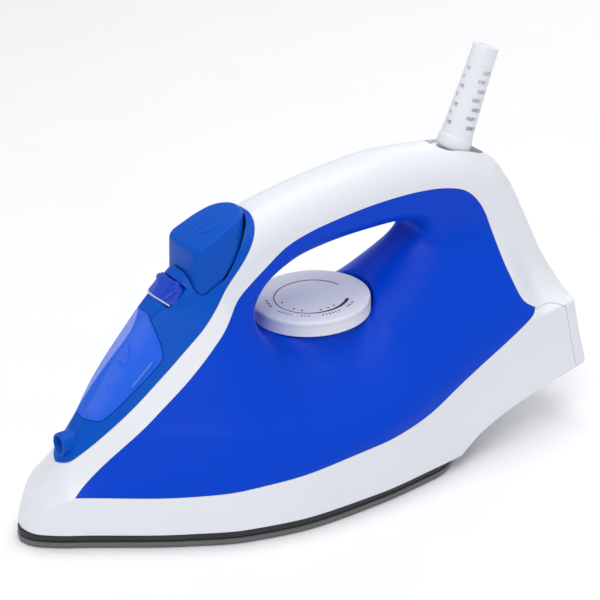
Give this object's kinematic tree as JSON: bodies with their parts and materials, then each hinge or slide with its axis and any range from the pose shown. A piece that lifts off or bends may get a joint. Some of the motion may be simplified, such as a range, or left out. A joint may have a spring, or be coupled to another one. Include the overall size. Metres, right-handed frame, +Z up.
{
  "type": "steam iron",
  "caption": "Household steam iron with a ribbed swivelling cord guard, round thermostat dial, spray button, hinged filler cap, clear water window and a heel to stand on.",
  "frame": {"origin": "middle of the length and width, on the plane of the soleplate", "axes": "-X to the nose, +X to the heel, +Y to the right side as seen by a user behind the heel facing the nose, +Z up through the handle"},
  "size_m": [0.254, 0.107, 0.1666],
  "materials": {
    "white_plastic": "satin moulded white plastic",
    "dial_plastic": "satin white plastic with a printed scale",
    "guard_plastic": "flexible matte white plastic",
    "blue_plastic": "satin moulded blue plastic",
    "clear_blue": "glossy see-through blue plastic",
    "clear_hose": "soft translucent hose",
    "black_plastic": "matte heat-resistant black plastic",
    "soleplate_metal": "grey non-stick coating on cast aluminium",
    "steel": "plated steel",
    "brass": "turned brass",
    "ceramic": "unglazed ceramic"
  },
  "bodies": {
    "housing": {"soleplate": "soleplate_metal", "heating_element": "steel", "chamber_cover": "steel", "heat_shield": "black_plastic", "outer_shell": "white_plastic", "saddle_body": "blue_plastic", "front_cover": "blue_plastic", "rear_cover": "white_plastic", "tank_window": "clear_blue", "water_tank": "clear_blue", "drip_valve": "brass", "pump_body": "white_plastic", "pump_spring": "steel", "spray_hose": "clear_hose", "nozzle": "blue_plastic", "filler_cap_pin": "steel", "thermostat_body": "ceramic", "thermostat_bracket": "steel", "thermal_fuse": "steel", "guard_bearing_left": "white_plastic", "guard_bearing_right": "white_plastic", "terminal_block": "white_plastic", "cord_clamp": "black_plastic", "rear_cover_screw": "steel", "screw_nose": "steel", "screw_left": "steel", "screw_right": "steel"},
    "dial": {"dial": "dial_plastic", "thermostat_spindle": "steel"},
    "spray_button": {"spray_button": "blue_plastic", "pump_piston": "white_plastic"},
    "filler_cap": {"filler_cap": "clear_blue"},
    "cord_guard": {"cord_guard": "guard_plastic"}
  },
  "joints": [
    {"name": "dial_turn", "type": "hinge", "parent": "housing", "child": "dial", "pos_m": [0.0077, 0, 0.0727], "axis": [-0.0523, 0, 0.9986], "range_deg": [0, 285]},
    {"name": "spray_press", "type": "slide", "parent": "housing", "child": "spray_button", "axis": [0, 0, -1], "range_m": [0, 0.004], "stiffness_N_per_m": 600, "springref_m": -0.002, "deforming": ["pump_spring"]},
    {"name": "filler_cap_open", "type": "hinge", "parent": "housing", "child": "filler_cap", "pos_m": [-0.05778, 0, 0.09475], "axis": [0, 1, 0], "range_deg": [0, 95]},
    {"name": "cord_guard_swing", "type": "hinge", "parent": "housing", "child": "cord_guard", "pos_m": [0.0723, 0, 0.113], "axis": [0, 1, 0], "range_deg": [-20, 20]}
  ]
}
